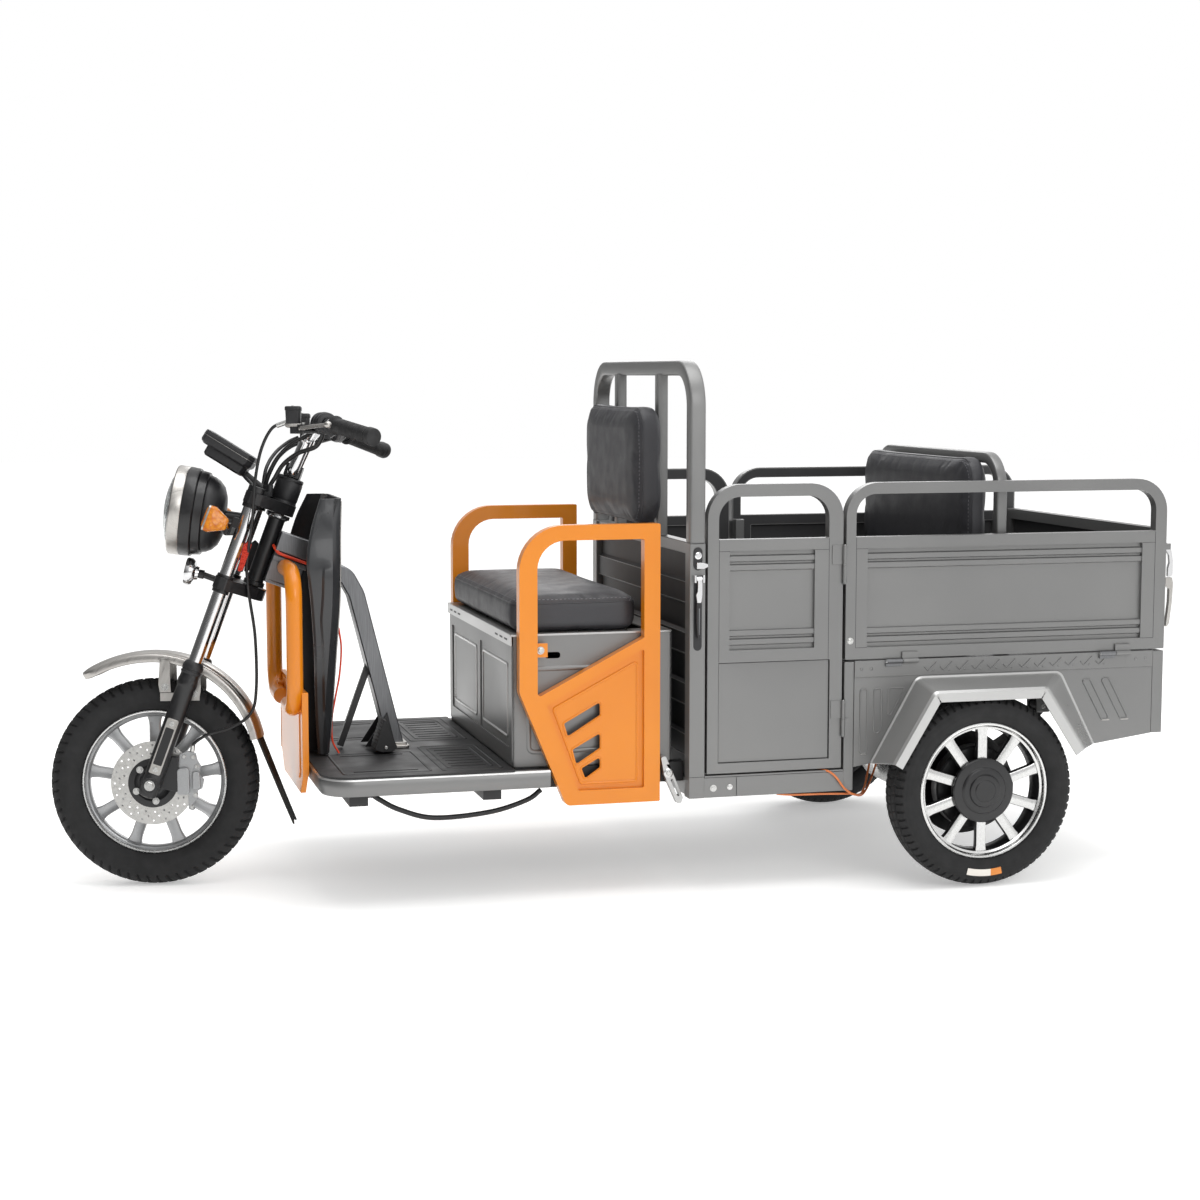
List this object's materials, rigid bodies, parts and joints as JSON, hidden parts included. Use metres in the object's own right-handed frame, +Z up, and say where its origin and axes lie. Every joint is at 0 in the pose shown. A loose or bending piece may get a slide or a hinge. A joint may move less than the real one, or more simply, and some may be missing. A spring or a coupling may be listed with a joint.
{
  "type": "electric cargo tricycle",
  "caption": "Electric cargo tricycle with hinged doors, drop sides, tailgate, folding passenger backrest, sprung fork and axle, roll bow and padded seats.",
  "frame": {"origin": "on the floor, under the middle of the whole tricycle's plan", "axes": "+X towards the rear, +Y to the rider's right, +Z up"},
  "size_m": [2.5198, 1.08, 1.1654],
  "materials": {
    "grey_paint": "satin grey powder coat",
    "orange_paint": "gloss orange powder coat",
    "black_plastic": "fine-grained black plastic",
    "black_steel": "semi-gloss black paint",
    "chrome": "polished chrome plate",
    "brushed_silver": "machined and painted silver alloy",
    "tyre_rubber": "treaded black rubber",
    "soft_rubber": "matt black rubber",
    "black_leather": "black leather-look vinyl over foam",
    "amber_lens": "clear amber plastic",
    "clear_lens": "clear lamp glass",
    "red_lens": "red lens plastic"
  },
  "bodies": {
    "chassis": {"head_frame": "grey_paint", "floor_frame": "grey_paint", "floor_mat": "black_plastic", "front_guard": "orange_paint", "leg_shield": "black_plastic", "seat_box": "grey_paint", "battery_pack": "black_steel", "motor_controller": "brushed_silver", "arm_frame_left": "orange_paint", "arm_frame_right": "orange_paint", "roll_bow": "grey_paint", "back_cushion": "black_leather", "cargo_frame": "grey_paint", "cargo_floor": "black_steel", "skirt_left": "grey_paint", "skirt_right": "grey_paint", "fender_left": "grey_paint", "fender_right": "grey_paint", "bench_cushion": "black_leather", "tail_lamps": "red_lens", "floor_cable": "soft_rubber", "leaf_spring_left": "black_steel", "leaf_spring_right": "black_steel"},
    "seat_lid": {"seat_cushion": "black_leather"},
    "door_left": {"door_left": "grey_paint"},
    "door_right": {"door_right": "grey_paint"},
    "door_latch_left": {"door_latch_left": "chrome"},
    "door_latch_right": {"door_latch_right": "chrome"},
    "drop_side_left": {"drop_side_left": "grey_paint"},
    "drop_side_right": {"drop_side_right": "grey_paint"},
    "tail_latch_left": {"tail_latch_left": "chrome"},
    "tail_latch_right": {"tail_latch_right": "chrome"},
    "tailgate": {"tailgate": "grey_paint"},
    "passenger_backrest": {"passenger_bow": "grey_paint", "passenger_cushion": "black_leather"},
    "steering": {"steering_stem": "black_steel", "handlebar": "black_plastic", "grip_left": "soft_rubber", "display": "black_plastic", "headlamp": "chrome", "headlamp_lens": "clear_lens", "indicators": "amber_lens", "horn": "chrome", "brake_hose": "soft_rubber"},
    "throttle_grip": {"throttle_grip": "soft_rubber"},
    "brake_lever_left": {"brake_lever_left": "brushed_silver"},
    "brake_lever_right": {"brake_lever_right": "brushed_silver"},
    "start_button": {"start_button": "red_lens"},
    "fork_lower": {"fork_legs": "black_steel", "front_mudguard": "grey_paint", "brake_caliper": "brushed_silver"},
    "front_wheel": {"front_tyre": "tyre_rubber", "front_rim": "brushed_silver"},
    "rear_axle": {"rear_axle": "black_steel"},
    "rear_wheel_left": {"rear_tyre_left": "tyre_rubber", "rear_rim_left": "brushed_silver"},
    "rear_wheel_right": {"rear_tyre_right": "tyre_rubber", "rear_rim_right": "brushed_silver"},
    "brake_pedal": {"brake_pedal": "black_plastic"},
    "parking_lever": {"parking_lever": "grey_paint"}
  },
  "joints": [
    {"name": "steering", "type": "hinge", "parent": "chassis", "child": "steering", "pos_m": [-0.9736, 0, 0.23064], "axis": [0.3502, 0, 0.9367], "range_deg": [-26, 50]},
    {"name": "fork_slide", "type": "slide", "parent": "steering", "child": "fork_lower", "axis": [0.3502, 0, 0.9367], "range_m": [0, 0.03], "stiffness_N_per_m": 15000, "springref_m": -0.04, "deforming": ["brake_hose"]},
    {"name": "front_wheel", "type": "hinge", "parent": "fork_lower", "child": "front_wheel", "pos_m": [-1.03245, 0.01168, 0.23021], "axis": [0.1947, 0.9781, -0.0728], "continuous": true},
    {"name": "rear_axle", "type": "slide", "parent": "chassis", "child": "rear_axle", "axis": [0, 0, 1], "range_m": [0, 0.012], "stiffness_N_per_m": 32000, "springref_m": -0.04, "deforming": ["leaf_spring_left", "leaf_spring_right"]},
    {"name": "rear_wheel_left", "type": "hinge", "parent": "rear_axle", "child": "rear_wheel_left", "pos_m": [0.7404, -0.4825, 0.21494], "axis": [0, 1, 0], "continuous": true},
    {"name": "rear_wheel_right", "type": "hinge", "parent": "rear_axle", "child": "rear_wheel_right", "pos_m": [0.7404, 0.4825, 0.21494], "axis": [0, 1, 0], "continuous": true},
    {"name": "throttle", "type": "hinge", "parent": "steering", "child": "throttle_grip", "pos_m": [-0.56136, 0.23344, 0.99106], "axis": [0.7063, 0.6574, -0.2628], "range_deg": [0, 70], "stiffness_Nm_per_rad": 0.35, "springref_deg": -17.19},
    {"name": "brake_lever_left", "type": "hinge", "parent": "steering", "child": "brake_lever_left", "pos_m": [-0.71631, -0.17456, 1.01842], "axis": [0.0072, 0.0728, 0.9973], "range_deg": [0, 10], "stiffness_Nm_per_rad": 4, "springref_deg": -8.59},
    {"name": "brake_lever_right", "type": "hinge", "parent": "steering", "child": "brake_lever_right", "pos_m": [-0.64698, 0.17366, 0.99249], "axis": [-0.0072, -0.0728, -0.9973], "range_deg": [0, 10], "stiffness_Nm_per_rad": 4, "springref_deg": -8.59},
    {"name": "start_button", "type": "slide", "parent": "steering", "child": "start_button", "axis": [-0.0072, -0.0728, -0.9973], "range_m": [0, 0.003], "stiffness_N_per_m": 400, "springref_m": -0.003},
    {"name": "seat_lid", "type": "hinge", "parent": "chassis", "child": "seat_lid", "pos_m": [-0.2926, 0, 0.57724], "axis": [0, -1, 0], "range_deg": [0, 80]},
    {"name": "door_left", "type": "hinge", "parent": "chassis", "child": "door_left", "pos_m": [0.4429, -0.4134, 0.26294], "axis": [0, 0, 1], "range_deg": [0, 90]},
    {"name": "door_latch_left", "type": "hinge", "parent": "chassis", "child": "door_latch_left", "pos_m": [0.1044, -0.4175, 0.69444], "axis": [-1, 0, 0], "range_deg": [0, 120]},
    {"name": "drop_side_left", "type": "hinge", "parent": "chassis", "child": "drop_side_left", "pos_m": [0.4484, -0.4157, 0.49894], "axis": [1, 0, 0], "range_deg": [0, 105]},
    {"name": "tail_latch_left", "type": "hinge", "parent": "drop_side_left", "child": "tail_latch_left", "pos_m": [1.2424, -0.3955, 0.74044], "axis": [0, -1, 0], "range_deg": [0, 110]},
    {"name": "door_right", "type": "hinge", "parent": "chassis", "child": "door_right", "pos_m": [0.4429, 0.4134, 0.26294], "axis": [0, 0, -1], "range_deg": [0, 90]},
    {"name": "door_latch_right", "type": "hinge", "parent": "chassis", "child": "door_latch_right", "pos_m": [0.1044, 0.4175, 0.69444], "axis": [1, 0, 0], "range_deg": [0, 120]},
    {"name": "drop_side_right", "type": "hinge", "parent": "chassis", "child": "drop_side_right", "pos_m": [0.4484, 0.4157, 0.49894], "axis": [-1, 0, 0], "range_deg": [0, 105]},
    {"name": "tail_latch_right", "type": "hinge", "parent": "drop_side_right", "child": "tail_latch_right", "pos_m": [1.2424, 0.3955, 0.74044], "axis": [0, -1, 0], "range_deg": [0, 110]},
    {"name": "tailgate", "type": "hinge", "parent": "chassis", "child": "tailgate", "pos_m": [1.2431, 0, 0.49894], "axis": [0, 1, 0], "range_deg": [0, 170]},
    {"name": "passenger_backrest", "type": "hinge", "parent": "chassis", "child": "passenger_backrest", "pos_m": [0.8444, 0, 0.66044], "axis": [0, -1, 0], "range_deg": [0, 90]},
    {"name": "brake_pedal", "type": "hinge", "parent": "chassis", "child": "brake_pedal", "pos_m": [-0.5336, -0.118, 0.30394], "axis": [0, -1, 0], "range_deg": [0, 15], "stiffness_Nm_per_rad": 6, "springref_deg": -8.59},
    {"name": "parking_lever", "type": "hinge", "parent": "chassis", "child": "parking_lever", "pos_m": [0.0504, -0.362, 0.26244], "axis": [0, 1, 0], "range_deg": [0, 30]}
  ]
}
